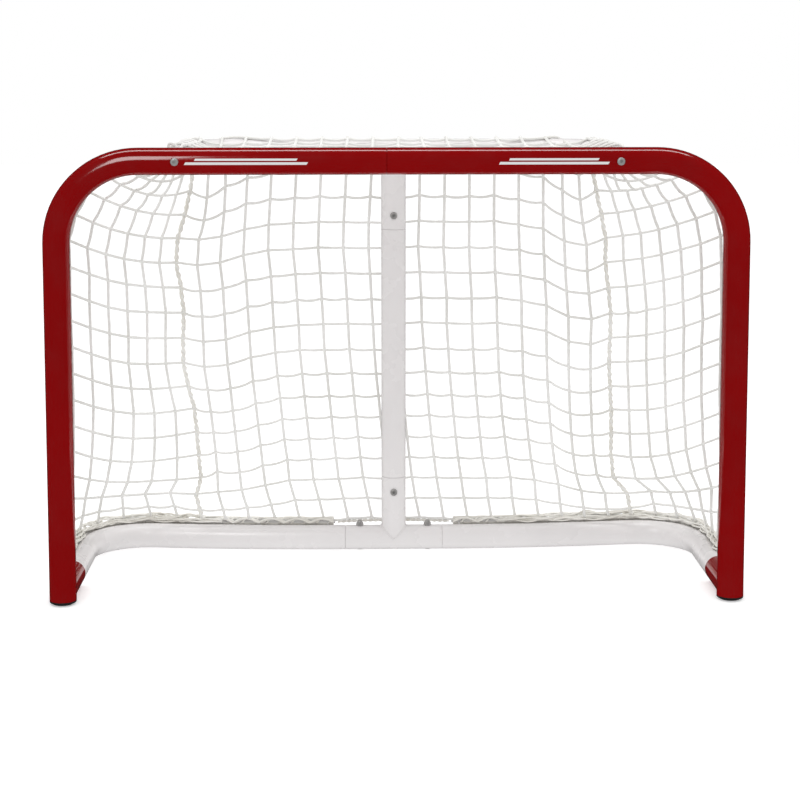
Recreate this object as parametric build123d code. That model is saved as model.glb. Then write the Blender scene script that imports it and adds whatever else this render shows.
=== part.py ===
from build123d import *
import os
from math import asin, cos, exp, radians, sin, sqrt

# Small steel hockey goal: a red arched front frame in two halves, a white base tube in two rails
# and a tee, a white centre post, a white U-shaped top frame, and a square-mesh net laced to rods
# behind the tubes. The ground is z = 0, the mouth faces -Y, and +X is the goalkeeper's left.
# All sizes are in millimetres. Depths are measured backwards from the axes of the two posts.

# ---- driving dimensions -------------------------------------------------------------------------
OPENING_W = 914.4          # between the posts
OPENING_H = 609.6          # ground to the underside of the crossbar
TUBE_R = 19.05             # every main tube is 38.1 in outside diameter
TUBE_BORE_R = 17.55
FRAME_BEND_R = 114.3       # centreline of the arch's corners
BASE_DEPTH = 304.8         # post axis to the rearmost axis of the base tube
TEE_DEPTH = 285.1          # post axis to the axis of the tee, centre post and top frame
BASE_BEND_R = 88.9
TOP_BEND_R = 63.5
ARM_X = 309.0              # the top frame's two arms
STUB_DEPTH = 88.9          # where the base stub ends and the rail begins
TEE_HALF = 76.2
UPRIGHT_TOP_Z = 117.5      # lower seam of the centre post
DROP_BOTTOM_Z = 508.0      # upper seam of the centre post
BAR_SEAM_X = -16.0

POST_X = OPENING_W / 2 + TUBE_R
BAR_Z = OPENING_H + TUBE_R
ARCH_X = POST_X - FRAME_BEND_R
ARCH_Z = BAR_Z - FRAME_BEND_R
POST_BOTTOM_Z = 6.0

# ---- slip joints and fasteners ------------------------------------------------------------------
NECK_R = 17.3              # the reduced end that slides into the next tube
NECK_BORE_R = 15.8
NECK_LENGTH = 45.0
SHOULDER = 3.2             # full diameter to neck
SEAM_GAP = 0.3
COPE_GAP = 0.08            # between a coped end and the tube that it is welded to
BOLT_R = 3.0
HOLE_R = 3.2
HEAD_R = 5.5
HEAD_H = 3.3
SEAT_R = 6.0               # shallow dimple under each head or nut
SEAT = TUBE_R - 0.85       # distance of the dimple's floor from the tube's axis
NUT_AF = 10.0
CAP_NUT_H = 5.0
THIN_NUT_H = 3.2
POST_BOLT_Z = (95.0, 530.0)
TEE_BOLT_X = 53.3
STUB_BOLT_DEPTH = 62.0
SCREW_X = -38.0
SCREW_R = 2.1

# ---- lacing rods and netting --------------------------------------------------------------------
ROD_R = 2.5
ROD_OUT = 12.5             # sideways from the tube's axis, away from the goal
ROD_OFF = 21.65            # behind the front tubes, and above the base tubes
PEG_R = 1.8
PEG_START = TUBE_R + 0.1
LACE_R = 5.5               # outside of the cord wound round a rod
LACE_BORE_R = 2.8
SEAM_CORD_R = 3.0
NET_HALF = 1.2             # half the thickness of the plain slab that stands for the netting
NET_BOTTOM_Z = 50.0
NET_TOP_Z = 649.3
NET_FRONT = 30.0           # depth of the side nets' front edges
SEAM_MARGIN = 5.5          # between a panel's edge and the corner cord

REAR_REACH = BASE_DEPTH + TUBE_R
FRONT_REACH = SEAT + HEAD_H
POST_Y = (FRONT_REACH - REAR_REACH) / 2

# The base tube bows in from its rearmost point to the tee along an arc that is tangent to both.
BASE_ARC_X = POST_X - BASE_BEND_R
BASE_ARC_DEPTH = BASE_DEPTH - BASE_BEND_R
BOW_END_X = TEE_HALF + SHOULDER
BOW_REACH = BASE_ARC_X - BOW_END_X
BOW_RISE = TEE_DEPTH - BASE_ARC_DEPTH
BOW_R = (BOW_REACH**2 + BOW_RISE**2 - BASE_BEND_R**2) / (2 * (BASE_BEND_R - BOW_RISE))
BOW_ANGLE = asin(BOW_REACH / (BOW_R + BASE_BEND_R))

LEFT, RIGHT = -1, 1
SIDES = ((LEFT, "left"), (RIGHT, "right"))


def at(x, depth, z):
    """A point, from its place across, its depth behind the post axes and its height."""
    return Vector(x, POST_Y + depth, z)


def chain(*edges):
    return Wire(list(edges))


def line(a, b):
    return Edge.make_line(a, b)


def arc(a, middle, b):
    return Edge.make_three_point_arc(a, middle, b)


def swept(path, radius, bore=None):
    """A rod along a path, or a tube if it has a bore."""
    section = Circle(radius)
    if bore:
        section -= Circle(bore)
    return sweep((path ^ 0) * section, path=path)


def tube(path):
    return swept(path, TUBE_R, TUBE_BORE_R)


def cylinder(start, direction, radius, length):
    """A solid cylinder that starts at a point and runs along a direction."""
    place = Plane(origin=start, z_dir=direction)
    return place * Cylinder(radius, length, align=(Align.CENTER, Align.CENTER, Align.MIN))


def neck(seam, direction):
    """The reduced end of a tube, from its shoulder at the seam to its tip inside the next tube."""
    profile = Polyline(
        (TUBE_BORE_R, 0, -SHOULDER),
        (TUBE_R, 0, -SHOULDER),
        (TUBE_R, 0, -0.7),
        (TUBE_R - 0.7, 0, 0),
        (NECK_R, 0, 0),
        (NECK_R, 0, NECK_LENGTH - 1.5),
        (NECK_R - 1, 0, NECK_LENGTH),
        (NECK_BORE_R, 0, NECK_LENGTH),
        (NECK_BORE_R, 0, -0.2),
        close=True,
    )
    return Plane(origin=seam, z_dir=direction) * revolve(make_face(profile), Axis.Z)


def arch_path(offset, depth, start_z, end_x, side=RIGHT):
    """Up a post, round the arch and along the crossbar, a distance outside the tube's axis."""
    radius = FRAME_BEND_R + offset
    x = side * (POST_X + offset)
    turn = at(side * (ARCH_X + radius * cos(radians(45))), depth, ARCH_Z + radius * sin(radians(45)))
    foot, knee = at(x, depth, start_z), at(x, depth, ARCH_Z)
    shoulder, tip = at(side * ARCH_X, depth, BAR_Z + offset), at(end_x, depth, BAR_Z + offset)
    return chain(line(foot, knee), arc(knee, turn, shoulder), line(shoulder, tip))


def base_path(offset, z, start_depth, end_x, side=RIGHT):
    """Along the base tube from a depth behind the post round to a place across, off its axis."""

    def on_corner(angle):
        radius = BASE_BEND_R + offset
        return at(side * (BASE_ARC_X + radius * cos(angle)), BASE_ARC_DEPTH + radius * sin(angle), z)

    def on_bow(x):
        radius = BOW_R - offset
        return at(side * x, TEE_DEPTH + BOW_R - sqrt(radius**2 - (x - BOW_END_X) ** 2), z)

    quarter = radians(90)
    corner_end = quarter + BOW_ANGLE
    bow_start = BOW_END_X + (BOW_R - offset) * sin(BOW_ANGLE)
    first = line(at(side * (POST_X + offset), start_depth, z), on_corner(0))
    if end_x >= bow_start:
        corner_end = quarter + asin((BASE_ARC_X - end_x) / (BASE_BEND_R + offset))
        return chain(first, arc(on_corner(0), on_corner(corner_end / 2), on_corner(corner_end)))
    corner = arc(on_corner(0), on_corner(corner_end / 2), on_corner(corner_end))
    bow = arc(on_corner(corner_end), on_bow((bow_start + end_x) / 2), on_bow(end_x))
    return chain(first, corner, bow)


def seats_and_hole(point, direction, seats=(-1, 1)):
    """What a bolt takes out of a tube: a hole right across and a dimple under head and nut."""
    axis = Vector(*direction)
    cut = cylinder(point - axis * 2 * TUBE_R, axis, HOLE_R, 4 * TUBE_R)
    for end in seats:
        cut += cylinder(point + axis * end * SEAT, axis * end, SEAT_R, TUBE_R)
    return cut


def button_bolt(point, direction, length):
    """A button-head bolt whose head seats at a point and whose shank runs along a direction."""
    axis = Vector(*direction)
    head = cylinder(Vector(0, 0, 0), (0, 0, -1), HEAD_R, HEAD_H)
    head = fillet(head.edges().sort_by(Axis.Z)[0], 2.4)
    head -= Pos(0, 0, -HEAD_H) * extrude(RegularPolygon(2.3, 6), 2.0)
    body = head + cylinder(Vector(0, 0, 0), (0, 0, 1), BOLT_R, length)
    return Plane(origin=point, z_dir=axis) * body


def flat_bolt(point, direction, length):
    """A countersunk bolt, flush with the surface that it goes into."""
    axis = Vector(*direction)
    sunk = Plane(origin=point, z_dir=axis) * Cone(
        HEAD_R, BOLT_R, 2.6, align=(Align.CENTER, Align.CENTER, Align.MIN)
    )
    socket = Plane(origin=point, z_dir=axis) * extrude(RegularPolygon(2.2, 6), 1.6)
    return sunk + cylinder(point, axis, BOLT_R, length) - socket


def thin_nut(point, direction):
    """A thin hexagon nut with its outer corners rounded off."""
    body = extrude(RegularPolygon(NUT_AF / 2, 6, major_radius=False), THIN_NUT_H)
    body &= Cone(NUT_AF * 0.66, NUT_AF * 0.51, THIN_NUT_H, align=(Align.CENTER, Align.CENTER, Align.MIN))
    body -= Cylinder(BOLT_R + 0.05, 3 * THIN_NUT_H)
    return Plane(origin=point, z_dir=direction) * body


def cap_nut(point, direction):
    """A hexagon with a domed cap over the bolt's end."""
    body = extrude(RegularPolygon(NUT_AF / 2, 6, major_radius=False), CAP_NUT_H)
    body += Pos(0, 0, CAP_NUT_H) * Sphere(4.4)
    body &= Cylinder(NUT_AF, 4 * CAP_NUT_H, align=(Align.CENTER, Align.CENTER, Align.MIN))
    body -= Cylinder(BOLT_R + 0.05, CAP_NUT_H + 1.5, align=(Align.CENTER, Align.CENTER, Align.MIN))
    return Plane(origin=point, z_dir=direction) * body


# ---- frame --------------------------------------------------------------------------------------
def front_frame(side):
    """One half of the red arch: a post, its corner and half of the crossbar."""
    if side == LEFT:
        half = tube(arch_path(0, 0, POST_BOTTOM_Z, BAR_SEAM_X - SEAM_GAP, LEFT))
    else:
        half = tube(arch_path(0, 0, POST_BOTTOM_Z, BAR_SEAM_X + SHOULDER))
        half += neck(at(BAR_SEAM_X, 0, BAR_Z), (-1, 0, 0))
    half -= seats_and_hole(at(side * ARM_X, 0, BAR_Z), (0, 1, 0), seats=(-1,))
    return half - cylinder(at(SCREW_X, 0, BAR_Z), (0, 1, 0), SCREW_R + 0.1, 2 * TUBE_R)


def base_stub(side):
    """The short red tube welded behind the foot of a post, which takes the base rail."""
    stub = tube(chain(line(at(side * POST_X, 2, TUBE_R), at(side * POST_X, STUB_DEPTH - SEAM_GAP, TUBE_R))))
    stub -= cylinder(at(side * POST_X, 0, -50), (0, 0, 1), TUBE_R + COPE_GAP, 200)
    return stub - base_bolt_cut(side * POST_X, STUB_BOLT_DEPTH)


def base_bolt_cut(x, depth):
    """The way for an upright bolt: a countersink below, a hole across and a dimple on top."""
    cut = cylinder(at(x, depth, -5), (0, 0, 1), HOLE_R, 60)
    cut += Pos(*at(x, depth, 0.2)) * Cone(
        HEAD_R + 0.2, BOLT_R + 0.2, 2.6, align=(Align.CENTER, Align.CENTER, Align.MIN)
    )
    cut += cylinder(at(x, depth, -1), (0, 0, 1), HEAD_R + 0.2, 1.2)
    return cut + cylinder(at(x, depth, TUBE_R + SEAT), (0, 0, 1), SEAT_R, 10)


def post_plug(side):
    """The black end plug: a stem in the tube, a flange under its wall and a domed glide."""
    profile = Polyline(
        (0, 0, 0),
        (11, 0, 0),
        (14.5, 0, 0.8),
        (16.5, 0, 3),
        (TUBE_R - 0.8, 0, 3),
        (TUBE_R, 0, 3.6),
        (TUBE_R, 0, POST_BOTTOM_Z - 0.05),
        (TUBE_BORE_R - 0.1, 0, POST_BOTTOM_Z - 0.05),
        (TUBE_BORE_R - 0.1, 0, 20),
        (TUBE_BORE_R - 1.6, 0, 22),
        (0, 0, 22),
        close=True,
    )
    return Pos(*at(side * POST_X, 0, 0)) * revolve(make_face(profile), Axis.Z)


def base_rail(side):
    """One white base rail: straight back, round the corner and along the rear to the tee."""
    rail = tube(base_path(0, TUBE_R, STUB_DEPTH + SHOULDER, BOW_END_X, side))
    rail += neck(at(side * POST_X, STUB_DEPTH, TUBE_R), (0, -1, 0))
    rail += neck(at(side * TEE_HALF, TEE_DEPTH, TUBE_R), (-side, 0, 0))
    return rail - base_bolt_cut(side * POST_X, STUB_BOLT_DEPTH) - base_bolt_cut(side * TEE_BOLT_X, TEE_DEPTH)


def base_tee():
    half = TEE_HALF - SEAM_GAP
    sleeve = tube(chain(line(at(-half, TEE_DEPTH, TUBE_R), at(half, TEE_DEPTH, TUBE_R))))
    for side in (LEFT, RIGHT):
        sleeve -= base_bolt_cut(side * TEE_BOLT_X, TEE_DEPTH)
    return sleeve


def upright(low, high, welded_to):
    """A vertical socket on the tee or under the top frame, coped to the tube at its welded end."""
    socket = tube(chain(line(at(0, TEE_DEPTH, low), at(0, TEE_DEPTH, high))))
    socket -= cylinder(at(-60, TEE_DEPTH, welded_to), (1, 0, 0), TUBE_R + COPE_GAP, 120)
    for z in POST_BOLT_Z:
        socket -= seats_and_hole(at(0, TEE_DEPTH, z), (0, 1, 0))
    return socket


def centre_post():
    low, high = at(0, TEE_DEPTH, UPRIGHT_TOP_Z + SHOULDER), at(0, TEE_DEPTH, DROP_BOTTOM_Z - SHOULDER)
    post = tube(chain(line(low, high)))
    post += neck(at(0, TEE_DEPTH, UPRIGHT_TOP_Z), (0, 0, -1))
    post += neck(at(0, TEE_DEPTH, DROP_BOTTOM_Z), (0, 0, 1))
    for z in POST_BOLT_Z:
        post -= seats_and_hole(at(0, TEE_DEPTH, z), (0, 1, 0), seats=())
    return post


def top_frame():
    """The white U that carries the net over the top, its arms coped to the crossbar."""
    corners = [(-ARM_X, 5), (-ARM_X, TEE_DEPTH), (ARM_X, TEE_DEPTH), (ARM_X, 5)]
    path = FilletPolyline(*[at(x, depth, BAR_Z) for x, depth in corners], radius=TOP_BEND_R)
    frame = tube(path)
    return frame - cylinder(at(-ARM_X - 60, 0, BAR_Z), (1, 0, 0), TUBE_R + COPE_GAP, 2 * ARM_X + 120)


def top_frame_plugs():
    """Threaded plugs in the ends of the top frame's arms, one for each crossbar bolt."""
    plugs = []
    for side in (LEFT, RIGHT):
        plug = cylinder(at(side * ARM_X, 2, BAR_Z), (0, 1, 0), TUBE_BORE_R - 0.1, 43)
        plug -= cylinder(at(side * ARM_X - 40, 0, BAR_Z), (1, 0, 0), TUBE_R + COPE_GAP, 80)
        plugs.append(plug - cylinder(at(side * ARM_X, 0, BAR_Z), (0, 1, 0), BOLT_R + 0.05, 60))
    return Compound(children=plugs)


# ---- fasteners ----------------------------------------------------------------------------------
def crossbar_bolts():
    return Compound(
        children=[button_bolt(at(side * ARM_X, -SEAT, BAR_Z), (0, 1, 0), SEAT + 42) for side in (LEFT, RIGHT)]
    )


def crossbar_screw():
    """The self-tapping screw that pins the crossbar's two halves, driven from behind."""
    head = cylinder(at(SCREW_X, TUBE_R + 0.05, BAR_Z), (0, 1, 0), 3.8, 2.2)
    head = fillet(head.edges().sort_by(Axis.Y)[-1], 1.4)
    return head + cylinder(at(SCREW_X, TUBE_BORE_R - 6, BAR_Z), (0, 1, 0), SCREW_R, 9)


def centre_post_bolts():
    length = 2 * SEAT + THIN_NUT_H + 0.4
    return Compound(
        children=[button_bolt(at(0, TEE_DEPTH - SEAT, z), (0, 1, 0), length) for z in POST_BOLT_Z]
    )


def centre_post_nuts():
    return Compound(children=[thin_nut(at(0, TEE_DEPTH + SEAT, z), (0, 1, 0)) for z in POST_BOLT_Z])


def base_bolt_places():
    places = []
    for side in (LEFT, RIGHT):
        places += [(side * POST_X, STUB_BOLT_DEPTH), (side * TEE_BOLT_X, TEE_DEPTH)]
    return places


def base_bolts():
    length = TUBE_R + SEAT + CAP_NUT_H
    return Compound(children=[flat_bolt(at(x, depth, 0.3), (0, 0, 1), length) for x, depth in base_bolt_places()])


def base_cap_nuts():
    return Compound(
        children=[cap_nut(at(x, depth, TUBE_R + SEAT), (0, 0, 1)) for x, depth in base_bolt_places()]
    )


# ---- lacing rods and lacing ---------------------------------------------------------------------
POST_ROD_START_Z = 75.0
POST_ROD_END_X = 346.0
BASE_ROD_START = 108.0
BASE_ROD_END_X = 92.0
BAR_ROD_SPAN = {LEFT: (-286.5, -50.0), RIGHT: (8.0, 286.5)}
PEG_GAP = 12.0             # from the end of a rod to its first standoff


def pegs(path, count, outward, radius):
    """Standoffs from the tube to its rod, spread along the rod's path."""
    found = []
    first = PEG_GAP / path.length
    for i in range(count):
        place = path @ (first + (1 - 2 * first) * i / (count - 1))
        direction = outward(place, path % (first + (1 - 2 * first) * i / (count - 1)))
        reach = sqrt(ROD_OUT**2 + ROD_OFF**2)
        found.append(cylinder(place - direction * (reach - PEG_START), direction, radius, reach - PEG_START))
    return found


def outward_of(tangent, off):
    """The unit direction from a tube's axis to its rod, given the direction that stands off it."""
    across = off.cross(tangent)
    return (across * ROD_OUT + off * ROD_OFF).normalized()


def laced_rod(path, count, off):
    """A rod with its standoffs, and the sleeve that the lacing cord makes round it."""

    def direction(place, tangent):
        across = outward_of(tangent, off)
        flipped = outward_of(tangent * -1, off)
        centre = at(0, BASE_ARC_DEPTH if off.Z else 0, 0 if off.Z else ARCH_Z - 200)
        return across if (place + across - centre).length > (place + flipped - centre).length else flipped

    rod = swept(path, ROD_R)
    sleeve = swept(path, LACE_R, LACE_BORE_R)
    for peg in pegs(path, count, direction, PEG_R):
        rod += peg
    for hole in pegs(path, count, direction, PEG_R + 0.4):
        sleeve -= hole
    return rod, sleeve


def lacing():
    """Every rod and the cord round it, by node name; the post's and base's are mirror images."""
    made = {}
    back, up = Vector(0, 1, 0), Vector(0, 0, 1)
    post = arch_path(ROD_OUT, ROD_OFF, POST_ROD_START_Z, -POST_ROD_END_X, LEFT)
    base = base_path(ROD_OUT, TUBE_R + ROD_OFF, BASE_ROD_START, BASE_ROD_END_X, LEFT)
    for kind, path, count, off in (("post", post, 7, back), ("base", base, 6, up)):
        for piece, shape in zip(("lacing_rod", "lacing"), laced_rod(path, count, off)):
            made[f"{kind}_{piece}_left"] = shape
            made[f"{kind}_{piece}_right"] = mirror(shape, about=Plane.YZ)
    for side, name in SIDES:
        bar = chain(line(*[at(x, ROD_OFF, BAR_Z + ROD_OUT) for x in BAR_ROD_SPAN[side]]))
        made[f"crossbar_lacing_rod_{name}"], made[f"crossbar_lacing_{name}"] = laced_rod(bar, 3, back)
    bridge_z = TUBE_R + ROD_OFF
    bridge_depth = TEE_DEPTH + TUBE_R + LACE_BORE_R + 0.5
    ends = [at(x, TEE_DEPTH + ROD_OUT + 1, bridge_z) for x in (-BASE_ROD_END_X + 3, BASE_ROD_END_X - 3)]
    made["base_lacing_bridge"] = swept(
        chain(arc(ends[0], at(0, bridge_depth, bridge_z), ends[1])), LACE_BORE_R
    )
    return made


# ---- netting ------------------------------------------------------------------------------------
SEAMS = {
    LEFT: ((-300, 315, NET_BOTTOM_Z), (-308, 284, 150), (-324, 252, 320), (-331, 256, 460), (-334, 291, 645)),
    RIGHT: ((384, 317, NET_BOTTOM_Z), (345, 284, 150), (335, 252, 320), (331, 256, 460), (334, 291, 645)),
}
GRID = 15


def seam_path(side):
    """Where a side net is laced to the back net, from the base up to the top frame's corner."""
    return Edge.make_spline([at(*place) for place in SEAMS[side]])


def slab(bottom, top, near, far, reach=1.0):
    """A plain slab on the surface between four curves, each a function from 0 to 1.

    The bends in the near and far edges fade out over this share of the slab's width.
    """

    def bend(edge, v):
        return edge(v) - edge(0) * (1 - v) - edge(1) * v

    def point(u, v):
        near_share = max(0.0, 1 - u / reach) ** (1.5 if reach < 1 else 1)
        far_share = max(0.0, 1 - (1 - u) / reach) ** (1.5 if reach < 1 else 1)
        return bottom(u) * (1 - v) + top(u) * v + bend(near, v) * near_share + bend(far, v) * far_share

    steps = [i / (GRID - 1) for i in range(GRID)]
    face = Face.make_surface_from_array_of_points([[point(u, v) for u in steps] for v in steps], tol=0.3)
    return thicken(face, NET_HALF, both=True)


def straight(a, b):
    return lambda t: a + (b - a) * t


def side_net(side):
    seam = seam_path(side)
    front = arch_path(ROD_OUT, NET_FRONT, NET_BOTTOM_Z, side * POST_ROD_END_X, side)
    low = base_path(ROD_OUT, NET_BOTTOM_Z, NET_FRONT, abs(SEAMS[side][0][0]) + SEAM_MARGIN, side)
    out = Vector(side * SEAM_MARGIN, -SEAM_MARGIN / 2, 0)

    def far(v):
        return (seam @ v) + out * v + (low @ 1 - seam @ 0) * (1 - v)

    return slab(lambda u: low @ u, straight(front @ 1, far(1)), lambda v: front @ v, far)


def back_net():
    """The rear panel, close behind the centre post and over the base tube's rods."""
    left, right = seam_path(LEFT), seam_path(RIGHT)

    def inward(side):
        return Vector(-side * SEAM_MARGIN, 0, 0)

    def edge(path, side):
        return lambda v: (path @ v) + inward(side)

    def level(v, flat):
        a, b = edge(left, LEFT)(v), edge(right, RIGHT)(v)

        def point(u):
            p = a + (b - a) * u
            reach = min(1.0, abs(p.X) / abs(a.X if p.X < 0 else b.X))
            return Vector(p.X, p.Y + (POST_Y + flat - p.Y) * (1 - reach**10), p.Z)

        return point

    rear = TEE_DEPTH + SEAT + THIN_NUT_H + 2 * NET_HALF

    def bottom(u):
        p = level(0, rear)(u)
        bowed = TEE_DEPTH + ROD_OUT + max(0.0, abs(p.X) - BOW_END_X) ** 2 / (2 * BOW_R)
        near_post = exp(-((p.X / 110) ** 2))
        return Vector(p.X, POST_Y + bowed + (rear - bowed + 2) * near_post + 6 * (1 - near_post), p.Z)

    def near(v):
        return edge(left, LEFT)(v) + (bottom(0) - edge(left, LEFT)(0)) * (1 - v)

    def far(v):
        return edge(right, RIGHT)(v) + (bottom(1) - edge(right, RIGHT)(0)) * (1 - v)

    return slab(bottom, level(1, rear), near, far, 0.26)


def top_net():
    """The panel over the top frame, from behind the crossbar to the rear tube."""
    half, front, rear = ARM_X + TUBE_R, 23.0, TEE_DEPTH + 14
    box = Box(2 * half, rear - front, 2 * NET_HALF)
    return Pos(*at(0, (front + rear) / 2, NET_TOP_Z)) * box


def corner_lacing(side):
    seam = seam_path(side)
    return swept(chain(seam.trim(0.004, 0.985)), SEAM_CORD_R)


# ---- every node ---------------------------------------------------------------------------------
def model():
    nodes = {
        "base_tee": base_tee(),
        "base_tee_upright": upright(TUBE_R, UPRIGHT_TOP_Z - SEAM_GAP, TUBE_R),
        "centre_post": centre_post(),
        "top_frame": top_frame(),
        "top_frame_drop": upright(DROP_BOTTOM_Z + SEAM_GAP, BAR_Z, BAR_Z),
        "top_frame_plugs": top_frame_plugs(),
        "crossbar_bolts": crossbar_bolts(),
        "crossbar_screw": crossbar_screw(),
        "centre_post_bolts": centre_post_bolts(),
        "centre_post_nuts": centre_post_nuts(),
        "base_bolts": base_bolts(),
        "base_cap_nuts": base_cap_nuts(),
        "net_back": back_net(),
        "net_top": top_net(),
    }
    for side, name in SIDES:
        nodes[f"front_frame_{name}"] = front_frame(side)
        nodes[f"base_stub_{name}"] = base_stub(side)
        nodes[f"post_plug_{name}"] = post_plug(side)
        nodes[f"base_rail_{name}"] = base_rail(side)
        nodes[f"net_{name}"] = side_net(side)
        nodes[f"corner_lacing_{name}"] = corner_lacing(side)
    nodes.update(lacing())
    return nodes


if __name__ == "__main__":
    os.makedirs("parts", exist_ok=True)
    for node, shape in model().items():
        export_step(shape, f"parts/{node}.step")
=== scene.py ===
from math import asin, cos, pi, radians, sin

import bpy
import numpy as np
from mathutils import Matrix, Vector

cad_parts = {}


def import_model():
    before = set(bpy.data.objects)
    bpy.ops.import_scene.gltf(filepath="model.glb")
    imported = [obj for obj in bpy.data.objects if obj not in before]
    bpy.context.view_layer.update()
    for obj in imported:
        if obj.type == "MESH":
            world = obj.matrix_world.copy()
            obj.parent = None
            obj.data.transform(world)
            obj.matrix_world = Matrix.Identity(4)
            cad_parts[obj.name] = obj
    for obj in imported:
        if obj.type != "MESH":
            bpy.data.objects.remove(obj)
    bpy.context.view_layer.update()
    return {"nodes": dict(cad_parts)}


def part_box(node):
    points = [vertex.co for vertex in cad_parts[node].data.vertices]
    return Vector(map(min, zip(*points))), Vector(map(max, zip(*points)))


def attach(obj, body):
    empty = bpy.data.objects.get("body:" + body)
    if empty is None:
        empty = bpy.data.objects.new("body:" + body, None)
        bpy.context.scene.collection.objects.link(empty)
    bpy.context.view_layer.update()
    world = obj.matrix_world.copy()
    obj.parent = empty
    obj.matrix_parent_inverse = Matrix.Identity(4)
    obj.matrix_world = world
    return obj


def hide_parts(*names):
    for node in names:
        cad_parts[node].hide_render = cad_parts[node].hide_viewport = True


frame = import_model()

# A small steel hockey goal with a square-mesh net. The net is threaded strand by strand. Its edges
# and the seams between its back and its sides, all but their two lowest rows, are held on curves
# set here, and the meshes between them are relaxed under their own weight over the frame.
# Then every strand is swept into cord. Lengths in this script are millimetres unless a name says
# otherwise; depths are measured backwards from the axes of the two posts.

MM = 0.001
plug_low, plug_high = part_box("post_plug_left")
POST_Y = 500 * (plug_low.y + plug_high.y)      # the posts' axes

# ---- the frame, as the CAD has it ---------------------------------------------------------------
POST_X, BAR_Z, TUBE_R = 476.25, 628.65, 19.05
ARCH_R, ARCH_X, ARCH_Z = 114.3, 361.95, 514.35
TEE_DEPTH, BASE_DEPTH, BASE_BEND = 285.1, 304.8, 88.9
ARM_X, TOP_BEND, BOW_END = 309.0, 63.5, 79.4
ROD_OUT, ROD_OFF = 12.5, 21.65
BASE_ROD_Z = TUBE_R + ROD_OFF
POST_ROD = (75.0, 346.0)                       # from this height, round the arch to this |X|
BASE_ROD = (108.0, 92.0)                       # from this depth, round the corner to this |X|
BAR_RODS = {-1: (-286.5, -50.0), 1: (8.0, 286.5)}
BASE_ARC_X, BASE_ARC_D = POST_X - BASE_BEND, BASE_DEPTH - BASE_BEND
BOW_REACH, BOW_RISE = BASE_ARC_X - BOW_END, TEE_DEPTH - BASE_ARC_D
BOW_R = (BOW_REACH**2 + BOW_RISE**2 - BASE_BEND**2) / (2 * (BASE_BEND - BOW_RISE))
BOW_ANGLE = asin(BOW_REACH / (BOW_R + BASE_BEND))
SIDES = {-1: "left", 1: "right"}

# ---- the net ------------------------------------------------------------------------------------
BACK_CELLS = 18            # cells across the back and top
ROWS = 23                  # cells from the base, up the back and over the top to the crossbar
SEAM_ROWS = 18             # how many of them the side nets are laced to
SIDE_CELLS = 7             # cells from a post to the seam
PARTS = 3                  # links in each side of a cell
CELL_W, CELL_H, TOP_CELL, SIDE_CELL = 39.2, 39.9, 40.2, 39.9
BOTTOM_W, BUNCHED_H = 38.4, 33.1              # cells along the base, and the lowest rows' height
ROW_CELLS = np.array([33, 36, 38] + [CELL_W] * 12 + [38, 36, 33])
FRONT_CELLS = np.array([14, 30, 37] + [39.4] * 12 + [37, 32, 22])
BACK_ROWS = 17             # rows on the back panel, up to the rear top tube
BOTTOM_Z, FRONT_DEPTH, FRONT_Z = 45.0, 27.0, 643.0
BOTTOM_X = {-1: -300.0, 1: 384.0}
FRONT_X = (-321.0, 343.0)
SLACK = (55, 45, 28, 12, 4)                    # extra cord in the columns nearest the seams
SIDE_SLACK = (0, 2, 3, 4, 5, 6, 8)
SPREAD = {-1: (60, 56, 50, 46, 43, 42, 42), 1: (1,) * SIDE_CELLS}
RAIL_START = 118.0         # depth at which the side nets' bottom edges begin
POST_ROWS = {-1: (70.0, 316.0), 1: (92.0, 324.0)}   # heights and |X| where the rows begin and end
FLARE_ROWS = 5             # rows over which the side nets widen towards the base
SEAM_TIES = {-1: ((-303, 280, 643), (-323, 250, 645)), 1: ((303, 280, 643), (323, 250, 645))}
LOOSE_ROWS = 2             # the seam's lowest rows, which aren't held
SEAM_PITCH = np.array([38.0] * 5 + [39.3] * 9)
SEAMS = {
    -1: ((-302, 300, 85), (-306, 283, 160), (-311, 268, 235), (-325, 252, 300), (-323, 246, 400),
         (-335, 248, 475), (-318, 268, 545), (-309, 280, 600)),
    1: ((361, 303, 85), (345, 289, 130), (341, 268, 220), (334, 252, 300), (335, 246, 385),
        (326, 250, 455), (327, 258, 500), (312, 278, 580)),
}
COLUMN_R, ROW_R = 2.45, 2.1                    # chosen by how heavy the net looks
CLEARANCE = 2.5            # from a tube to a cord's middle
KNOT_WIDE, KNOT_THICK = 3.5, 2.6
BUNCHED_ROWS = (4.5, 8)    # the rows' height grows from BUNCHED_H to CELL_H between these
OVER_TUBE = ((309, 610), (303, 642), (285, 652))    # depth and height on the way over the top tube
BEHIND_POST = (3.5, 70)    # how far the back stands off the centre post, and over what width
TOP_LINK = 4.0             # from a side column's top to the top panel's edge

# ---- how the net is relaxed ---------------------------------------------------------------------
STEPS, QUICK_STEPS, PASSES, SEED = 400, 40, 20, 7
WEIGHT, DAMPING, LATE_DAMPING, GRIP, TOP_SPEED = 0.02, 0.975, 0.8, 0.3, 4
STIFF, WOBBLE, SQUASHED, PUSH_BACK = 0.02, 0.012, 0.8, 0.3
LATE = 0.6                 # share of the steps after which the net is slowed
NEAR, NEAR_EVERY = 45, 10  # reach of the search for tubes nearby, and steps between searches

# ---- the lacing ---------------------------------------------------------------------------------
LACE_R, POST_COIL_R, BASE_COIL_R, SEAM_COIL_R, BRIDGE_COIL_R = 1.5, 4.4, 4.3, 2.4, 1.3
POST_PITCH, BAR_PITCH, BASE_PITCH, BRIDGE_PITCH = 12.4, 13.1, 19.7, 17.0
SEAM_COILS = ((0.4, 23.0), (0.4 + pi, 23.0), (2.0, 41.0))    # phase and pitch of each cord
BASE_CORNER = (400, 105)                       # |X| and half width of the crowded part of the rail
RIGHT_CROWD = (330, 130)                       # more of it on the right
HUMP, HUMP_PITCH = 7.0, 40.2


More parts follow.
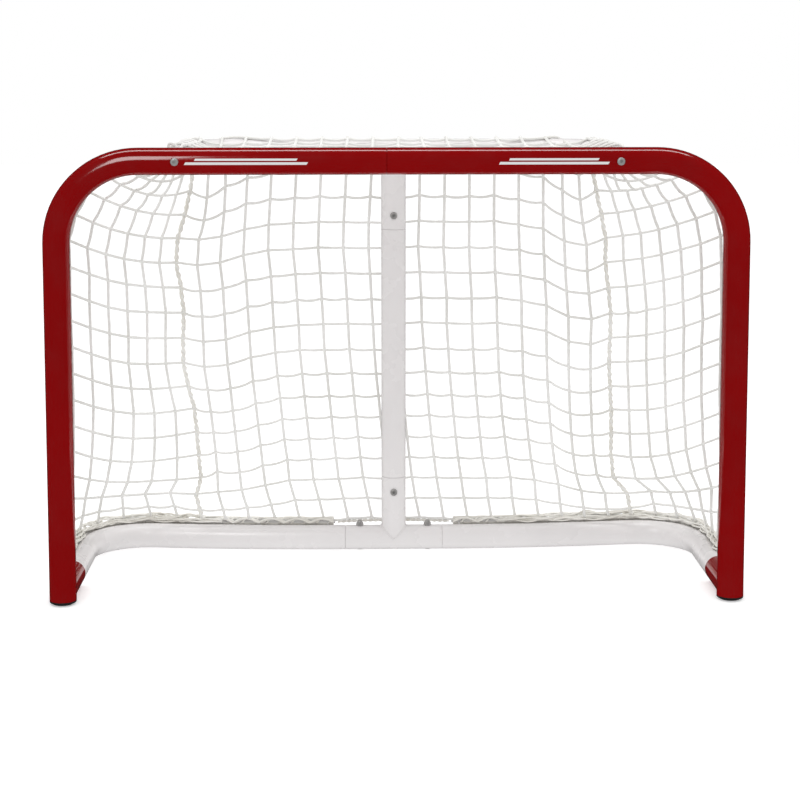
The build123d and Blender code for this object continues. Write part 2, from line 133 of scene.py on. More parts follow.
def world(points):
    """(x, depth, z) in millimetres to the shared frame in metres."""
    return (np.asarray(points, float) + (0, POST_Y, 0)) * MM


def step_lengths(path):
    return np.linalg.norm(np.diff(path, axis=0), axis=1)


def length(path):
    return step_lengths(path).sum()


def totals(values):
    """Running totals, from 0."""
    return np.concatenate([[0], np.cumsum(values)])


def unit(vectors):
    return vectors / np.linalg.norm(vectors, axis=1)[:, None]


def resample(path, distances):
    path = np.asarray(path, float)
    along = totals(step_lengths(path))
    return np.stack([np.interp(distances, along, path[:, k]) for k in range(3)], 1)


def evenly(path, count):
    return resample(path, np.linspace(0, length(path), count))


def smooth_path(points, fine=3):
    """A Catmull-Rom curve through the points, fine steps to each gap."""
    points = np.asarray(points, float)
    p = np.vstack([2 * points[0] - points[1], points, 2 * points[-1] - points[-2]])
    t = np.arange(fine)[:, None] / fine
    out = []
    for a, b, c, d in zip(p[:-3], p[1:-2], p[2:-1], p[3:]):
        square, cube = 2 * a - 5 * b + 4 * c - d, 3 * b - a - 3 * c + d
        out.append(0.5 * (2 * b + (c - a) * t + square * t**2 + cube * t**3))
    return np.vstack(out + [points[-1:]])


def arch_line(out, depth, low, end_x, side):
    """Up the post and round the arch, out beyond its axis, until |X| is end_x."""
    angle = np.linspace(0, pi / 2, 37)
    x = np.concatenate([[POST_X + out], ARCH_X + (ARCH_R + out) * np.cos(angle), [end_x]])
    z = np.concatenate([[low], ARCH_Z + (ARCH_R + out) * np.sin(angle), [BAR_Z + out]])
    return np.stack([side * x, np.full(len(x), depth), z], 1)


def base_line(out, z, start_depth, end_x, side):
    """Back along the rail, round its corner and along the bow until |X| is end_x."""
    points = [(POST_X + out, start_depth)]
    bend, bow = BASE_BEND + out, BOW_R - out
    for a in np.linspace(0, pi / 2 + BOW_ANGLE, 40):
        points.append((BASE_ARC_X + bend * cos(a), BASE_ARC_D + bend * sin(a)))
    for a in np.linspace(BOW_ANGLE, 0, 40)[1:]:
        points.append((BOW_END + bow * sin(a), TEE_DEPTH + BOW_R - bow * cos(a)))
    points = np.array(points + [(0, TEE_DEPTH + out)])
    inside = points[:, 0] >= end_x
    kept = points[inside]
    if kept[-1, 0] > end_x + 0.01:
        after = points[~inside][0]
        share = (kept[-1, 0] - end_x) / (kept[-1, 0] - after[0])
        kept = np.vstack([kept, kept[-1] + share * (after - kept[-1])])
    return np.stack([side * kept[:, 0], kept[:, 1], np.full(len(kept), z)], 1)


def top_frame_line():
    angle = np.radians(np.linspace(0, 90, 10))
    x = ARM_X - TOP_BEND + TOP_BEND * np.cos(angle)
    depth = TEE_DEPTH - TOP_BEND + TOP_BEND * np.sin(angle)
    left = [(-ARM_X, 0.0)] + list(zip(-x, depth))
    both = np.array(left + [(-a, b) for a, b in left[::-1]])
    return np.stack([both[:, 0], both[:, 1], np.full(len(both), BAR_Z)], 1)


class Net:
    """Points, the links between them, and the strands that they form."""

    def __init__(self):
        self.points, self.links, self.rest, self.strands, self.pins = [], [], [], {}, {}
        self.random = np.random.default_rng(SEED)

    def point(self, place):
        self.points.append(np.asarray(place, float))
        return len(self.points) - 1

    def link(self, a, b, rest):
        self.links.append((a, b))
        self.rest.append(rest)

    def strand(self, key, knots, cells):
        """One cord through these knots, with the length of cord in each cell."""
        cells = np.asarray(cells) * (1 + WOBBLE * self.random.standard_normal(len(cells)))
        ids = [knots[0]]
        for a, b, cell in zip(knots[:-1], knots[1:], cells):
            for k in range(1, PARTS):
                between = self.points[a] + (self.points[b] - self.points[a]) * k / PARTS
                ids.append(self.point(between))
                self.link(ids[-2], ids[-1], cell / PARTS)
            ids.append(b)
            self.link(ids[-2], b, cell / PARTS)
        self.strands[key] = ids


def seam_knots(side, bottom):
    """The rows' places on a seam: even down from its tie, and closer at the bottom."""
    line = smooth_path([SEAM_TIES[side][0], *SEAMS[side][::-1], bottom])
    total = length(line)
    down = totals(SEAM_PITCH)
    low = np.linspace(down[-1], total, LOOSE_ROWS + 2)[1:]
    return resample(line, np.concatenate([down, low]))[::-1]


def thread_back(net):
    """The panel that runs up the back and forward over the top."""
    bottoms = []
    for x in np.linspace(BOTTOM_X[-1], BOTTOM_X[1], BACK_CELLS + 1):
        line = base_line(ROD_OUT, BOTTOM_Z, 30, 0, 1)[::-1]
        depth = np.interp(abs(x), line[:, 0], line[:, 1])
        behind_post = TEE_DEPTH + TUBE_R + BEHIND_POST[0]
        depth += (behind_post - depth) * np.exp(-((x / BEHIND_POST[1]) ** 4))
        bottoms.append((x, depth, BOTTOM_Z))
    knots = np.zeros((BACK_CELLS + 1, ROWS + 1), int)
    shares = totals(FRONT_CELLS) / FRONT_CELLS.sum()
    for i, x in enumerate(np.interp(shares, (0, 1), FRONT_X)):
        over = [bottoms[i], *((x, *place) for place in OVER_TUBE), (x, FRONT_DEPTH, FRONT_Z)]
        knots[i] = [net.point(p) for p in evenly(np.array(over), ROWS + 1)]
        net.pins[knots[i, 0]] = bottoms[i]
        net.pins[knots[i, ROWS]] = over[-1]
    for i in range(BACK_CELLS + 1):
        bunched = np.interp(np.arange(ROWS), BUNCHED_ROWS, (BUNCHED_H, CELL_H))
        cells = np.where(np.arange(ROWS) < BACK_ROWS - 1, bunched, TOP_CELL)
        nearest = min(i, BACK_CELLS - i)
        extra = SLACK[nearest] if nearest < len(SLACK) else 0
        cells[BACK_ROWS:] *= 1 + extra / ((ROWS - BACK_ROWS) * CELL_H)
        net.strand(("back", "column", i), knots[i], cells)
    for j in range(ROWS + 1):
        cells = BOTTOM_W + (ROW_CELLS - BOTTOM_W) * min(1, j / 3)
        net.strand(("back", "row", j), knots[:, j], cells)
    for side, i in ((-1, 0), (1, BACK_CELLS)):
        for j, place in enumerate(SEAM_TIES[side]):
            net.pins[knots[i, BACK_ROWS + j]] = place
        for j, place in enumerate(seam_knots(side, bottoms[i])):
            net.points[knots[i, j]] = place
            if j > LOOSE_ROWS:
                net.pins[knots[i, j]] = place
    return knots


def thread_side(net, back, side):
    """A side panel, from the post and arch to the seam, laced to the top panel along its top."""
    seam_column = 0 if side < 0 else BACK_CELLS
    low_z, end_x = POST_ROWS[side]
    front = evenly(arch_line(ROD_OUT, FRONT_DEPTH, low_z, end_x, side), SEAM_ROWS + 1)
    rail = base_line(ROD_OUT, BOTTOM_Z, RAIL_START, abs(BOTTOM_X[side]), side)
    front[0] = rail[0]
    front[1] = rail[0] + (front[2] - rail[0]) * 0.45
    shares = totals(SPREAD[side]) / sum(SPREAD[side])
    low = resample(rail, shares * length(rail))
    laced = [net.points[k] for k in back[seam_column, :SEAM_ROWS]]
    seam = np.array(laced + [SEAM_TIES[side][1]])
    knots = np.zeros((SIDE_CELLS + 1, SEAM_ROWS + 1), int)
    knots[SIDE_CELLS] = back[seam_column, : SEAM_ROWS + 1]
    name = SIDES[side]
    for i in range(SIDE_CELLS):
        u = i / SIDE_CELLS
        bulge = low[i] - (front[0] * (1 - u) + seam[0] * u)
        for j in range(SEAM_ROWS + 1):
            place = front[j] * (1 - u) + seam[j] * u + bulge * (1 - j / SEAM_ROWS)
            knots[i, j] = net.point(place)
        net.pins[knots[i, 0]] = low[i]
    for i in range(SIDE_CELLS):
        places = np.array([net.points[k] for k in knots[i]])
        cells = np.linalg.norm(np.diff(places, axis=0), axis=1)
        net.strand((name, "column", i), knots[i], cells * (1 + SIDE_SLACK[i] / cells.sum()))
    widest = np.diff(shares) * length(rail)
    for j in range(SEAM_ROWS + 1):
        flare = max(0, 1 - j / FLARE_ROWS)
        cells = SIDE_CELL * (1 - flare) + widest * flare
        net.strand((name, "row", j), knots[:, j], cells)
        if j != 1:
            net.pins[knots[0, j]] = front[j]
    edge = net.strands["back", "column", seam_column][SEAM_ROWS * PARTS :]
    for i in range(1, SIDE_CELLS):
        place = round((len(edge) - 1) * (SIDE_CELLS - i) / SIDE_CELLS)
        net.link(knots[i, SEAM_ROWS], edge[place], TOP_LINK)
    return knots


def obstacles():
    """The tubes that the net lies on, as straight runs: starts and ends."""
    lines = [top_frame_line(), np.array([(0, TEE_DEPTH, 10), (0, TEE_DEPTH, BAR_Z)])]
    lines.append(np.array([(-ARCH_X, 0, BAR_Z), (ARCH_X, 0, BAR_Z)]))
    lines += [evenly(base_line(0, TUBE_R, 0, 0, side), 14) for side in SIDES]
    starts = np.concatenate([line[:-1] for line in lines])
    ends = np.concatenate([line[1:] for line in lines])
    return starts, ends


def batches_of(links):
    """Groups of links in which no two share a point, so that each group moves at once."""
    used, group = {}, []
    for a, b in links:
        c = 0
        while c in used.setdefault(a, set()) or c in used.setdefault(b, set()):
            c += 1
        used[a].add(c)
        used[b].add(c)
        group.append(c)
    group = np.array(group)
    return [group == c for c in range(group.max() + 1)]


def relax(net, steps):
    """Lets the free points hang: cord can't stretch, barely resists bending, and rests on tubes."""
    p = np.array(net.points)
    links, rest = np.array(net.links), np.array(net.rest)
    batches = [(links[k, 0], links[k, 1], rest[k]) for k in batches_of(net.links)]
    held, places = np.array(list(net.pins)), np.array(list(net.pins.values()), float)
    free = np.ones(len(p))
    free[held] = 0
    strands = map(np.array, net.strands.values())
    bends = np.concatenate([np.stack([s[:-2], s[1:-1], s[2:]], 1) for s in strands])
    share = np.maximum(np.bincount(bends[:, 1], minlength=len(p)), 1)[:, None]
    starts, ends = obstacles()
    runs = ends - starts
    squares = (runs**2).sum(1)

    def nearest(i, c):
        t = np.clip(((p[i] - starts[c]) * runs[c]).sum(1) / squares[c], 0, 1)
        away = p[i] - starts[c] - t[:, None] * runs[c]
        return away, np.linalg.norm(away, axis=1) + 1e-9

    def rest_on_tubes(i, c):
        away, distance = nearest(i, c)
        gap = TUBE_R + CLEARANCE - distance
        k = gap > 0
        p[i[k]] += away[k] * (gap[k] / distance[k])[:, None]
        return i[k]

    before = p.copy()
    p[held] = places
    touching = np.zeros(len(p), bool)
    loose = np.nonzero(free)[0]
    for step in range(steps):
        if step % NEAR_EVERY == 0:
            near = []
            for c in range(len(runs)):
                distance = nearest(loose, np.full(len(loose), c))[1]
                near.append(loose[distance < TUBE_R + NEAR])
            tubes = np.concatenate([np.full(len(k), c) for c, k in enumerate(near)])
            near = np.concatenate(near)
        speed = (p - before) * (DAMPING if step < LATE * steps else LATE_DAMPING)
        speed[touching] *= GRIP
        before = p.copy()
        p += np.clip(speed, -TOP_SPEED, TOP_SPEED) * free[:, None]
        p[:, 2] -= WEIGHT * free
        for turn in range(PASSES):
            for a, b, r in batches:
                d = p[b] - p[a]
                size = np.linalg.norm(d, axis=1) + 1e-9
                short = size - SQUASHED * r
                pull = np.where(size > r, size - r, np.where(short < 0, PUSH_BACK * short, 0))
                move = d * (pull / size / (free[a] + free[b] + 1e-9))[:, None]
                p[a] += move * free[a][:, None]
                p[b] -= move * free[b][:, None]
            if turn % 2:
                rest_on_tubes(near, tubes)
        push = np.zeros_like(p)
        middle = (p[bends[:, 0]] + p[bends[:, 2]]) / 2
        np.add.at(push, bends[:, 1], middle - p[bends[:, 1]])
        p += STIFF * push / share * free[:, None]
        touching[:] = False
        touching[rest_on_tubes(near, tubes)] = True
        p[held] = places
    return p


# ---- cord meshes --------------------------------------------------------------------------------
def add_object(name, data):
    made = bpy.data.objects.new(name, data)
    bpy.context.scene.collection.objects.link(made)
    return made


class Cords:
    """Swept cords gathered into one mesh, with a UV map that runs along each cord."""

    def __init__(self, sides=6):
        self.sides, self.verts, self.faces, self.uvs, self.count = sides, [], [], [], 0

    def frames(self, path):
        """Unit tangents and a pair of directions across them that don't twist."""
        tangent = np.gradient(path, axis=0)
        tangent /= np.linalg.norm(tangent, axis=1)[:, None] + 1e-12
        across = np.cross(tangent[0], (0.3, 0.9, 0.31))
        across /= np.linalg.norm(across)
        ups = []
        for t in tangent:
            across = across - t * across.dot(t)
            across /= np.linalg.norm(across)
            ups.append(across)
        ups = np.array(ups)
        return tangent, ups, np.cross(tangent, ups)

    def add(self, path, radius):
        path = np.asarray(path, float)
        n, m = len(path), self.sides
        tangent, u, v = self.frames(path)
        angle = np.linspace(0, 2 * pi, m, endpoint=False)
        radius = np.broadcast_to(radius, n)[:, None, None]
        ring = u[:, None] * np.cos(angle)[None, :, None] + v[:, None] * np.sin(angle)[None, :, None]
        rings = path[:, None] + radius * ring
        ends = path[[0, -1]] + tangent[[0, -1]] * radius[[0, -1], 0] * ((-0.6,), (0.6,))
        self.verts += [rings.reshape(-1, 3), ends]
        along = totals(step_lengths(path)) * MM
        start, first, last = self.count, self.count + n * m, self.count + n * m + 1
        for k in range(n - 1):
            for s in range(m):
                a, b = start + k * m + s, start + k * m + (s + 1) % m
                self.faces.append((a, b, b + m, a + m))
                x0, x1 = s / m, (s + 1) / m
                self.uvs += [(x0, along[k]), (x1, along[k]), (x1, along[k + 1]), (x0, along[k + 1])]
        for s in range(m):
            t = (s + 1) % m
            end = start + (n - 1) * m
            self.faces += [(start + t, start + s, first), (end + s, end + t, last)]
            self.uvs += [(s / m, 0.0)] * 3 + [(s / m, along[-1])] * 3
        self.count += n * m + 2

    def knot(self, centre, one, two, wide, thick):
        """A small pillow where two strands cross, flattened across them."""
        normal = np.cross(one, two)
        size = np.linalg.norm(normal)
        if size < 1e-6:
            return
        normal /= size
        one = one / np.linalg.norm(one)
        two = np.cross(normal, one)
        m, start = 8, self.count
        verts = [centre - normal * thick]
        for level in (-0.55, 0.55):
            around = cos(asin(level))
            for s in range(m):
                a = 2 * pi * s / m
                reach = wide * around * (1 + 0.16 * cos(4 * a))
                side = (one * cos(a) + two * sin(a)) * reach
                verts.append(centre + side + normal * thick * level)
        verts.append(centre + normal * thick)
        self.verts.append(np.array(verts))
        top = start + 2 * m + 1
        for s in range(m):
            a, b = start + 1 + s, start + 1 + (s + 1) % m
            self.faces += [(start, b, a), (a, b, b + m, a + m), (a + m, b + m, top)]
            self.uvs += [(s / m, 0.0)] * 3 + [(s / m, 0.0)] * 4 + [(s / m, 0.004)] * 3
        self.count += len(verts)

    def build(self, name, material):
        verts = world(np.concatenate(self.verts))
        mesh = bpy.data.meshes.new(name)
        mesh.from_pydata(verts.tolist(), [], self.faces)
        layer = mesh.uv_layers.new(name="strand")
        layer.data.foreach_set("uv", np.array(self.uvs, np.float32).ravel())
        mesh.polygons.foreach_set("use_smooth", [True] * len(mesh.polygons))
        mesh.materials.append(material)
        mesh.update()
        return add_object(name, mesh)


def wound(path, radius, pitch, phase=0.0, shift=(0, 0, 0), per_turn=10):
    """A helix round a path, its centre moved by shift."""
    total = length(path)
    turns = total / pitch
    count = int(turns * per_turn) + 2
    middle = evenly(path, count)
    tangent = unit(np.gradient(middle, axis=0))
    crosswise = abs(tangent[0][1]) < 0.7 and abs(tangent[-1][1]) < 0.7
    up = (0.0, 1.0, 0.0) if crosswise else (0.0, 0.0, 1.0)
    u = unit(np.cross(tangent, up))
    v = np.cross(u, tangent)
    angle = 2 * pi * turns * np.linspace(0, 1, count)[:, None] + phase
    return middle + np.asarray(shift) + radius * (u * np.cos(angle) + v * np.sin(angle))


def wander(seed, count, size):
    """A smooth random line of numbers from a few waves."""
    random = np.random.default_rng(seed)
    t = np.linspace(0, 1, count)
    line = 0
    for _ in range(4):
        height, waves, phase = random.uniform(0.4, 1), random.uniform(3, 12), random.uniform(0, 6.3)
        line = line + height * np.sin(2 * pi * waves * t + phase)
    return size * line / 2


# ---- materials ----------------------------------------------------------------------------------
def material(name, colour, roughness, metallic=0.0, coat=0.0):
    made = bpy.data.materials.new(name)
    made.use_nodes = True
    shader = made.node_tree.nodes["Principled BSDF"]
    shader.inputs["Base Color"].default_value = (*colour, 1)
    shader.inputs["Roughness"].default_value = roughness
    shader.inputs["Metallic"].default_value = metallic
    shader.inputs["Coat Weight"].default_value = coat
    shader.inputs["Coat Roughness"].default_value = 0.06
    return made, made.node_tree.nodes, made.node_tree.links, shader


def noise(nodes, links, scale, detail=3.0):
    place = nodes.new("ShaderNodeTexCoord")
    texture = nodes.new("ShaderNodeTexNoise")
    texture.inputs["Scale"].default_value = scale
    texture.inputs["Detail"].default_value = detail
    links.new(place.outputs["Object"], texture.inputs["Vector"])
    return texture.outputs["Fac"]


def ramp(nodes, links, source, stops):
    made = nodes.new("ShaderNodeValToRGB")
    links.new(source, made.inputs["Fac"])
    for element, (place, colour) in zip(made.color_ramp.elements, stops):
        element.position = place
        element.color = (*colour, 1)
    return made.outputs["Color"]


def bump(nodes, links, height, shader, strength, distance):
    made = nodes.new("ShaderNodeBump")
    made.inputs["Strength"].default_value = strength
    made.inputs["Distance"].default_value = distance
    links.new(height, made.inputs["Height"])
    links.new(made.outputs["Normal"], shader.inputs["Normal"])


def paint(name, dark, light, roughness, coat, scuff):
    """Powder coat: faint orange peel, slight drift in colour, and duller scuffs."""
    made, nodes, links, shader = material(name, light, roughness[0], 0.0, coat)
    drift = noise(nodes, links, 6.0)
    links.new(ramp(nodes, links, drift, [(0.35, dark), (0.65, light)]), shader.inputs["Base Color"])
    rubs = noise(nodes, links, scuff, 6.0)
    low, high = ((value,) * 3 for value in roughness)
    links.new(ramp(nodes, links, rubs, [(0.45, low), (0.75, high)]), shader.inputs["Roughness"])
    bump(nodes, links, noise(nodes, links, 420.0, 2.0), shader, 0.05, 0.0004)
    return made


def cord_material(name, dark, light, turns, strength):
    """Braided cord: two families of slanting ridges, fibre noise and a little soiling."""
    made, nodes, links, shader = material(name, light, 0.82)
    shader.inputs["Sheen Weight"].default_value = 0.25
    shader.inputs["Sheen Roughness"].default_value = 0.5
    strand = nodes.new("ShaderNodeUVMap")
    strand.uv_map = "strand"
    split = nodes.new("ShaderNodeSeparateXYZ")
    links.new(strand.outputs["UV"], split.inputs["Vector"])

    def maths(operation, *values):
        """A Math node; each value is a number or another node's output."""
        made = nodes.new("ShaderNodeMath")
        made.operation = operation
        for socket, value in zip(made.inputs, values):
            if isinstance(value, (int, float)):
                socket.default_value = value
            else:
                links.new(value, socket)
        return made.outputs[0]

    ridges = []
    for way in (1, -1):
        along = maths("MULTIPLY", split.outputs["Y"], 2 * pi * turns)
        slant = maths("MULTIPLY_ADD", split.outputs["X"], way * 4 * pi, along)
        ridges.append(maths("SINE", slant))
    braid = maths("MAXIMUM", *ridges)
    fibre = noise(nodes, links, 900.0, 4.0)
    bump(nodes, links, maths("MULTIPLY_ADD", fibre, 0.5, braid), shader, strength, 0.0004)
    soil = noise(nodes, links, 14.0, 5.0)
    links.new(ramp(nodes, links, soil, [(0.3, dark), (0.62, light)]), shader.inputs["Base Color"])
    return made


def metal(name, colour, roughness):
    made, nodes, links, shader = material(name, colour, roughness, 0.45)
    grain = noise(nodes, links, 300.0, 4.0)
    low, high = (roughness * 0.75,) * 3, (roughness * 1.35,) * 3
    links.new(ramp(nodes, links, grain, [(0.35, low), (0.7, high)]), shader.inputs["Roughness"])
    bump(nodes, links, grain, shader, 0.08, 0.0003)
    return made


def plastic(name, dark, light, roughness):
    made, nodes, links, shader = material(name, light, roughness)
    grain = noise(nodes, links, 700.0, 3.0)
    links.new(ramp(nodes, links, grain, [(0.35, dark), (0.65, light)]), shader.inputs["Base Color"])
    bump(nodes, links, grain, shader, 0.2, 0.0003)
    return made


RED = paint("red_paint", (0.232, 0.0004, 0.0009), (0.26, 0.0005, 0.0012), (0.11, 0.17), 0.3, 26.0)
RED.node_tree.nodes["Principled BSDF"].inputs["IOR"].default_value = 1.65
WHITE = paint("white_paint", (0.82, 0.795, 0.795), (0.86, 0.835, 0.835), (0.25, 0.36), 0.15, 20.0)
ROD = paint("rod_paint", (0.62, 0.61, 0.60), (0.69, 0.68, 0.67), (0.3, 0.45), 0.1, 60.0)
ZINC = metal("zinc", (0.50, 0.49, 0.48), 0.36)
BLACK = plastic("black_plastic", (0.008, 0.008, 0.008), (0.02, 0.02, 0.021), 0.42)
NETTING = cord_material("net_cord", (0.80, 0.795, 0.76), (0.91, 0.905, 0.885), 330.0, 0.4)
LACING = cord_material("lacing_cord", (0.80, 0.775, 0.71), (0.92, 0.905, 0.86), 360.0, 0.45)
DECAL = plastic("white_decal", (0.74, 0.74, 0.74), (0.80, 0.80, 0.80), 0.3)

FINISHES = (
    (("front_frame", "base_stub"), RED),
    (("base_rail", "base_tee", "centre_post", "top_frame"), WHITE),
    (("post_plug",), BLACK),
    (("crossbar_bolts", "crossbar_screw", "centre_post_bolts", "centre_post_nuts"), ZINC),
    (("base_bolts", "base_cap_nuts", "top_frame_plugs"), ZINC),
    (("post_lacing_rod", "crossbar_lacing_rod", "base_lacing_rod"), ROD),
    (("post_lacing", "crossbar_lacing", "base_lacing", "corner_lacing"), LACING),
    (("net_",), NETTING),
)


def finish_of(node):
    """The finish whose longest matching name fits this node."""
    fits = []
    for starts, surface in FINISHES:
        fits += [(len(start), surface) for start in starts if node.startswith(start)]
    return max(fits, key=lambda fit: fit[0])[1]


for node, piece in frame["nodes"].items():
    piece.data.materials.clear()
    piece.data.materials.append(finish_of(node))


def place(piece, slot, *nodes):
    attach(piece, "root")
    if nodes:
        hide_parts(*nodes)
    return piece


# ---- the netting --------------------------------------------------------------------------------
net = Net()
back = thread_back(net)
sides = {side: thread_side(net, back, side) for side in SIDES}
settled = relax(net, STEPS)


def cord_path(key, first=0, last=None):
    return smooth_path(settled[net.strands[key][first : last and last + 1]])


def add_strand(cords, key, radius, first=0, last=None):
    path = cord_path(key, first, last)
    ripple = 1 + 0.05 * np.sin(np.arange(len(path)) * 1.9 + len(cords.faces) % 7)
    cords.add(path, radius * ripple)


def add_knots(cords, knots, columns, rows):
    for i in columns:
        for j in rows:
            right, left = min(i + 1, len(knots) - 1), max(i - 1, 0)
            above, below = min(j + 1, knots.shape[1] - 1), max(j - 1, 0)
            across = settled[knots[right, j]] - settled[knots[left, j]]
            up = settled[knots[i, above]] - settled[knots[i, below]]
            cords.knot(settled[knots[i, j]], across, up, KNOT_WIDE, KNOT_THICK)


def panel(name, node, parts, knots, columns, rows):
    """One piece of netting: parts are (strand key, radius, first and last point)."""
    cords = Cords()
    for part in parts:
        add_strand(cords, *part)
    add_knots(cords, knots, columns, rows)
    piece = place(cords.build(name, NETTING), "net_cord", node)
    return piece


split = BACK_ROWS * PARTS
panel(
    "netting_back",
    "net_back",
    [(("back", "column", i), COLUMN_R, 0, split) for i in range(BACK_CELLS + 1)]
    + [(("back", "row", j), ROW_R) for j in range(BACK_ROWS + 1)],
    back,
    range(BACK_CELLS + 1),
    range(BACK_ROWS + 1),
)
panel(
    "netting_top",
    "net_top",
    [(("back", "column", i), COLUMN_R, split) for i in range(BACK_CELLS + 1)]
    + [(("back", "row", j), ROW_R) for j in range(BACK_ROWS + 1, ROWS + 1)],
    back,
    range(BACK_CELLS + 1),
    range(BACK_ROWS + 1, ROWS + 1),
)
for side, name in SIDES.items():
    panel(
        f"netting_{name}",
        f"net_{name}",
        [((name, "column", i), COLUMN_R) for i in range(SIDE_CELLS)]
        + [((name, "row", j), ROW_R) for j in range(SEAM_ROWS + 1)],
        sides[side],
        range(SIDE_CELLS),
        range(SEAM_ROWS + 1),
    )

# ---- lacing -------------------------------------------------------------------------------------
def base_lacing(side):
    """The lacing along a base rail: a coil on the rod, the net's loops, and loose tangled cords."""
    cords = Cords()
    line = base_line(ROD_OUT, BASE_ROD_Z, BASE_ROD[0] + 4, BASE_ROD[1] + 3, side)
    rail = evenly(line, 260)
    cords.add(wound(rail, BASE_COIL_R, BASE_PITCH, 0.0, (0, 0, 1.4)), LACE_R)
    corner = np.exp(-(((np.abs(rail[:, 0]) - BASE_CORNER[0]) / BASE_CORNER[1]) ** 4))
    if side > 0:
        crowd = np.exp(-(((rail[:, 0] - RIGHT_CROWD[0]) / RIGHT_CROWD[1]) ** 4))
        corner = np.maximum(corner, crowd)
    outward = np.cross(unit(np.gradient(rail, axis=0)), (0, 0, side))
    along = totals(step_lengths(rail))
    level = np.zeros(len(rail))

    def beside(out, up):
        """The rod's line moved out from the tube and up."""
        return rail + outward * out[:, None] + up[:, None] * np.array((0, 0, 1.0))

    def stray(seed, size=1.0):
        return wander(seed + 10 * (side > 0), len(rail), size)

    for k in range(3):
        out = 1.6 - 1.3 * k + stray(5 + k, 0.4)
        cords.add(beside(out, -5.6 + 1.9 * k + level), LACE_R)
    for k in range(2):
        humps = HUMP * np.abs(np.sin(pi * along / HUMP_PITCH + 0.35 * k))
        cords.add(beside(-4.6 - 1.6 * k + level, -0.8 + humps * (1 - 0.45 * corner)), 1.55)
    swell = 1.8 + 4.4 * corner
    for k in range(4):
        up = 5.4 + swell * (0.45 + 0.5 * stray(60 + k))
        cords.add(beside(stray(20 + k) * swell, up), LACE_R)
    for k in range(4):
        up = 0.6 + 1.4 * k + 1.5 * stray(80 + k)
        cords.add(beside(-6.5 + 4.5 * stray(40 + k), up)[corner > 0.1], LACE_R)
    return cords


for side, name in SIDES.items():
    column = 0 if side < 0 else BACK_CELLS
    seam = cord_path(("back", "column", column), 0, SEAM_ROWS * PARTS)
    cords = Cords()
    for phase, pitch in SEAM_COILS:
        cords.add(wound(seam, SEAM_COIL_R, pitch, phase), LACE_R)
    place(cords.build(f"seam_cord_{name}", LACING), "lacing_cord", f"corner_lacing_{name}")

    cords = Cords()
    post = evenly(arch_line(ROD_OUT, ROD_OFF, POST_ROD[0] + 4, POST_ROD[1] + 3, side), 240)
    cords.add(wound(post, POST_COIL_R, POST_PITCH, 0.0, (0, 1.6, 0)), LACE_R)
    place(cords.build(f"post_cord_{name}", LACING), "lacing_cord", f"post_lacing_{name}")

    cords = Cords()
    a, b = BAR_RODS[side]
    height = BAR_Z + ROD_OUT
    bar = evenly(np.array([(a + 4, ROD_OFF, height), (b - 4, ROD_OFF, height)]), 60)
    cords.add(wound(bar, POST_COIL_R, BAR_PITCH, 0.0, (0, 1.6, 0.5)), LACE_R)
    place(cords.build(f"crossbar_cord_{name}", LACING), "lacing_cord", f"crossbar_lacing_{name}")

    cords = base_lacing(side)
    place(cords.build(f"base_cord_{name}", LACING), "lacing_cord", f"base_lacing_{name}")

low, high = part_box("base_lacing_bridge")
half, depth, level = high.x / MM, high.y / MM - POST_Y - 2.8, (low.z + high.z) / 2 / MM
x = np.linspace(-half + 2, half - 2, 60)
bow = (depth - TEE_DEPTH - ROD_OUT - 1) * (x / half) ** 2
bridge = np.stack([x, depth - 0.3 - bow, np.full(60, level)], 1)
cords = Cords()
for phase in (0.0, pi):
    cords.add(wound(bridge, BRIDGE_COIL_R, BRIDGE_PITCH, phase), 1.4)
place(cords.build("bridge_cord", LACING), "lacing_cord", "base_lacing_bridge")

# ---- weld beads where coped tubes meet ----------------------------------------------------------
for name, height, way in (("weld_base_tee", TUBE_R, 1), ("weld_top_frame", BAR_Z, -1)):
    angle = np.linspace(0, 2 * pi, 181)
    reach = TUBE_R + 0.35
    x, depth = reach * np.cos(angle), TEE_DEPTH + reach * np.sin(angle)
    saddle = np.stack([x, depth, height + way * reach * np.abs(np.cos(angle))], 1)
    bead = Cords(8)
    bead.add(saddle, 0.95 + 0.14 * np.sin(angle * 46))
    place(bead.build(name, WHITE), "white_paint")

# ---- plain stripes on the crossbar --------------------------------------------------------------
STRIPES = {-1: (-296.0, -127.0), 1: (139.0, 291.0)}      # where each pair of bands starts and ends
BANDS = ((624.6, 628.2, 0.0), (630.2, 633.2, 14.0))      # heights, and how much shorter at each end
ACROSS, UP = 24, 5                                       # points along a band and up it
SKIN = (TUBE_R - 0.05, TUBE_R + 0.12)                    # radii of a band's inside and outside
LEAN = 0.6


def stripe_mesh(name, start, end):
    """Two thin bands that lie on the front of the crossbar, leaning like a parallelogram."""
    verts, faces = [], []
    column = UP * len(SKIN)
    for z0, z1, inset in BANDS:
        count = len(verts)
        for x in np.linspace(start + inset, end - inset, ACROSS):
            for z in np.linspace(z0, z1, UP):
                angle = asin((z - BAR_Z) / TUBE_R)
                for r in SKIN:
                    lean = (z - z0) * LEAN
                    verts.append((x + lean, -r * cos(angle), BAR_Z + r * sin(angle)))
        for i in range(ACROSS - 1):
            for j in range(UP - 1):
                a = count + i * column + j * 2
                b = a + column
                faces.append((a + 1, b + 1, b + 3, a + 3))
                faces.append((a, a + 2, b + 2, b))
        for i in range(ACROSS - 1):
            a = count + i * column
            b, top = a + column, a + column - 2
            faces += [(a, b, b + 1, a + 1), (top + 1, top + 1 + column, top + column, top)]
        for j in range(UP - 1):
            a = count + j * 2
            b = a + column * (ACROSS - 1)
            faces += [(a, a + 1, a + 3, a + 2), (b + 2, b + 3, b + 1, b)]
    mesh = bpy.data.meshes.new(name)
    mesh.from_pydata(world(verts).tolist(), [], faces)
    mesh.materials.append(DECAL)
    return mesh


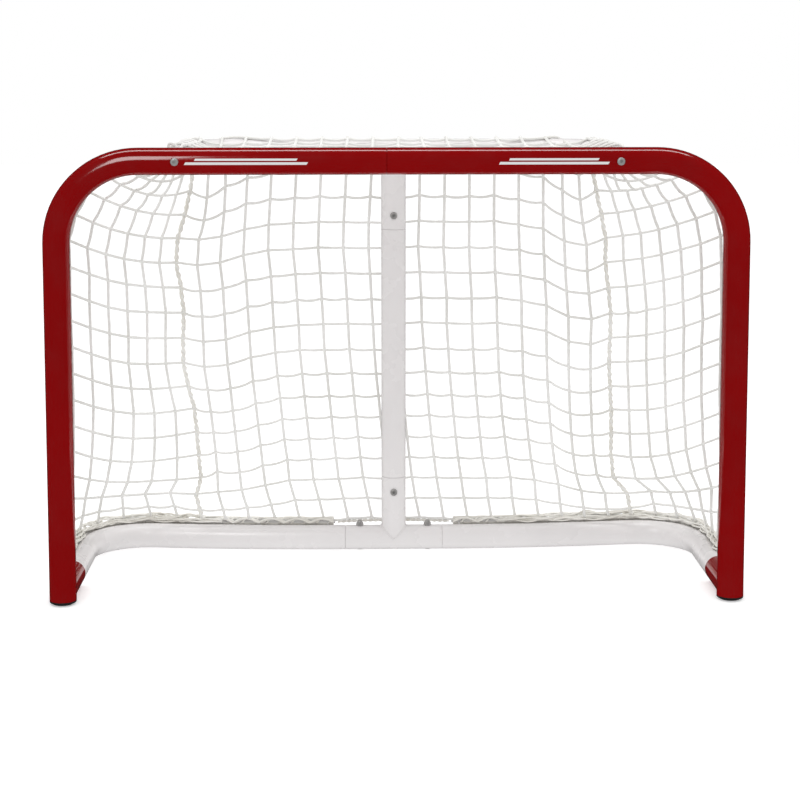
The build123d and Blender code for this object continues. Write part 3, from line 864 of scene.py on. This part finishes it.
for side, (start, end) in STRIPES.items():
    name = f"crossbar_stripe_{SIDES[side]}"
    place(add_object(name, stripe_mesh(name, start, end)), "white_paint")

# ---- floor, light and camera --------------------------------------------------------------------
floor_material, nodes, links, shader = material("studio_floor", (0.93, 0.93, 0.93), 0.9)
shader.inputs["Emission Color"].default_value = (1, 1, 1, 1)
shader.inputs["Emission Strength"].default_value = 0.35
mesh = bpy.data.meshes.new("floor")
mesh.from_pydata([(-9, -7, 0), (9, -7, 0), (9, 11, 0), (-9, 11, 0)], [], [(0, 1, 2, 3)])
mesh.materials.append(floor_material)
floor = add_object("floor", mesh)
floor.visible_glossy = False
floor.visible_diffuse = False


def softbox(name, place, target, size, power):
    light = bpy.data.lights.new(name, "AREA")
    light.shape = "RECTANGLE"
    light.size, light.size_y = size
    light.energy = power
    lamp = add_object(name, light)
    lamp.location = place
    lamp.rotation_euler = (Vector(target) - Vector(place)).to_track_quat("-Z", "Y").to_euler()
    return lamp


softbox("top_box", (0.0, 0.3, 2.5), (0, 0.05, 0.5), (3.0, 0.34), 16)
front = softbox("front_left_box", (-0.68, -1.4, 1.38), (-0.38, -0.15, 0.64), (0.5, 0.75), 6)
front.visible_diffuse = False

sky = bpy.data.worlds.new("studio")
bpy.context.scene.world = sky
sky.use_nodes = True
nodes, links = sky.node_tree.nodes, sky.node_tree.links
nodes.clear()
rays = nodes.new("ShaderNodeLightPath")
seen, glossy, soft = (nodes.new("ShaderNodeBackground") for _ in range(3))
seen.inputs["Strength"].default_value = 1.0
glossy.inputs["Strength"].default_value = 0.02
soft.inputs["Strength"].default_value = 0.95
first, second = nodes.new("ShaderNodeMixShader"), nodes.new("ShaderNodeMixShader")
output = nodes.new("ShaderNodeOutputWorld")
for shade in (seen, glossy, soft):
    shade.inputs["Color"].default_value = (1, 1, 1, 1)
links.new(rays.outputs["Is Glossy Ray"], first.inputs["Fac"])
links.new(soft.outputs[0], first.inputs[1])
links.new(glossy.outputs[0], first.inputs[2])
links.new(rays.outputs["Is Camera Ray"], second.inputs["Fac"])
links.new(first.outputs[0], second.inputs[1])
links.new(seen.outputs[0], second.inputs[2])
links.new(second.outputs[0], output.inputs["Surface"])

camera = bpy.data.cameras.new("camera")
camera.sensor_width = 36
camera.lens = 82.42
camera.shift_y = -0.175
eye = add_object("camera", camera)
eye.location = world((-65.0, -2548.5, 765.6))
eye.rotation_euler = (radians(83.831), 0, radians(-1.520))
bpy.context.scene.camera = eye
bpy.context.scene.view_settings.view_transform = "Standard"
